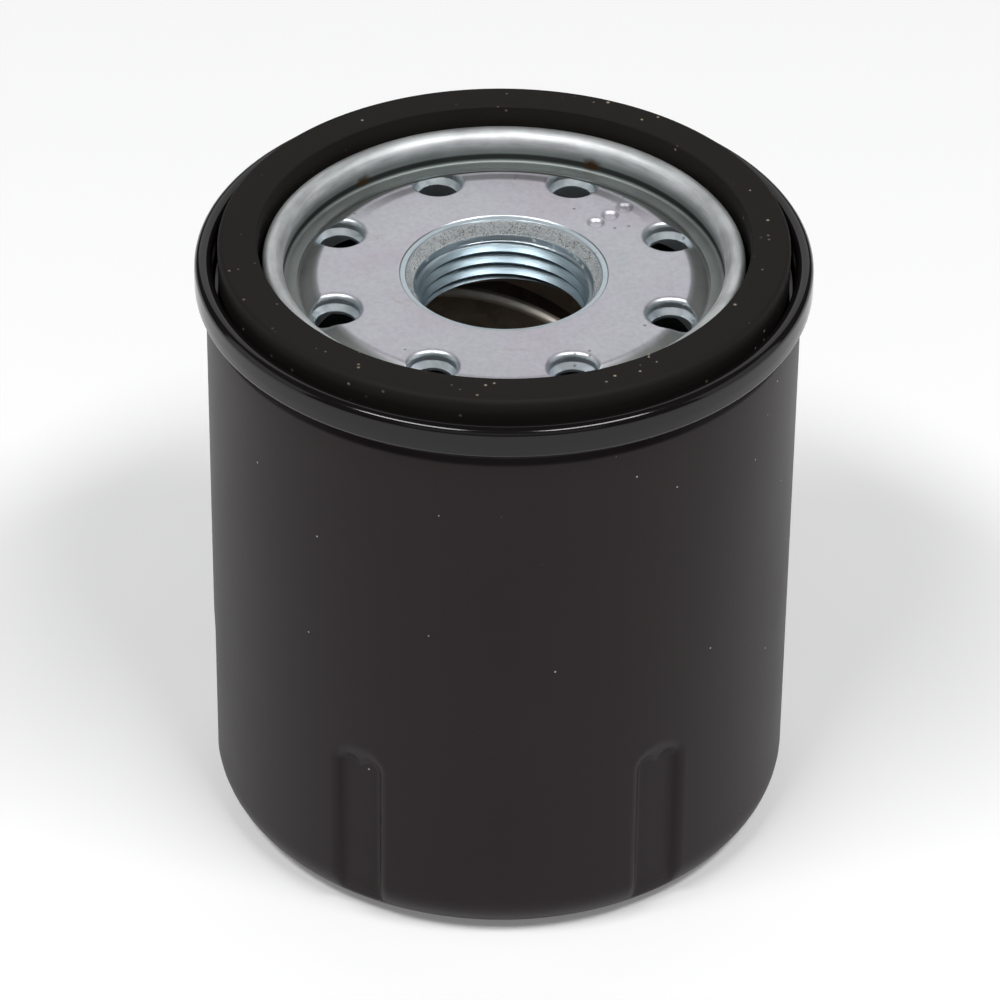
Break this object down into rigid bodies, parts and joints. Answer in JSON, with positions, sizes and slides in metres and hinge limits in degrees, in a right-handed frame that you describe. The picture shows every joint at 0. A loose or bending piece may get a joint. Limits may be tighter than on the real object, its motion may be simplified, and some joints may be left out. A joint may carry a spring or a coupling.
{
  "type": "spin-on oil filter",
  "caption": "Cylindrical spin-on oil filter: black drawn case with grip flutes, seamed rim, rubber gasket, plated base plate with a threaded neck and inlet holes.",
  "frame": {"origin": "centre of the circle that the filter stands on, at its closed end", "axes": "+Z runs along the filter's axis from the closed end to the gasket; +X is the side where the paper's seam clip lies"},
  "size_m": [0.0684, 0.0684, 0.0731],
  "materials": {
    "case_paint": "satin black paint with a fine texture",
    "lid_steel": "gloss black paint on the seam, bright zinc on the bead and flange",
    "zinc_plate": "clear zinc plating, cloudy and slightly iridescent",
    "gasket_rubber": "matte black nitrile rubber",
    "seam_compound": "dried sealing compound",
    "spring_steel": "oiled spring steel",
    "valve_rubber": "soft black rubber",
    "tinplate": "tinplate",
    "tube_steel": "tinned steel strip, rolled in a spiral",
    "filter_paper": "resin-treated pleated paper",
    "potting_resin": "cured resin",
    "bare_steel": "bare steel"
  },
  "bodies": {
    "housing": {"case": "case_paint", "seaming_lid": "lid_steel", "base_plate": "zinc_plate", "gasket": "gasket_rubber", "seam_sealant": "seam_compound", "support_spring": "spring_steel"},
    "element": {"element_top_cap": "tinplate", "element_bottom_cap": "tinplate", "centre_tube": "tube_steel", "filter_paper": "filter_paper", "paper_seam_clip": "bare_steel", "top_potting": "potting_resin", "bottom_potting": "potting_resin", "bypass_seat": "bare_steel", "bypass_cage": "tinplate", "bypass_spring": "spring_steel"},
    "bypass_valve": {"bypass_poppet": "bare_steel", "bypass_seal": "gasket_rubber"},
    "drain_flap": {"anti_drain_valve": "valve_rubber"}
  },
  "joints": [
    {"name": "element_float", "type": "slide", "parent": "housing", "child": "element", "axis": [0, 0, -1], "range_m": [0, 0.0015], "stiffness_N_per_m": 20000, "springref_m": -0.002, "deforming": ["support_spring"]},
    {"name": "bypass_lift", "type": "slide", "parent": "element", "child": "bypass_valve", "axis": [0, 0, 1], "range_m": [0, 0.003], "stiffness_N_per_m": 2000, "springref_m": -0.0055, "deforming": ["bypass_spring"]},
    {"name": "drain_flap_lift", "type": "slide", "parent": "housing", "child": "drain_flap", "axis": [0, 0, -1], "range_m": [0, 0.001], "stiffness_N_per_m": 300, "springref_m": -0.002, "deforming": ["anti_drain_valve"]}
  ]
}
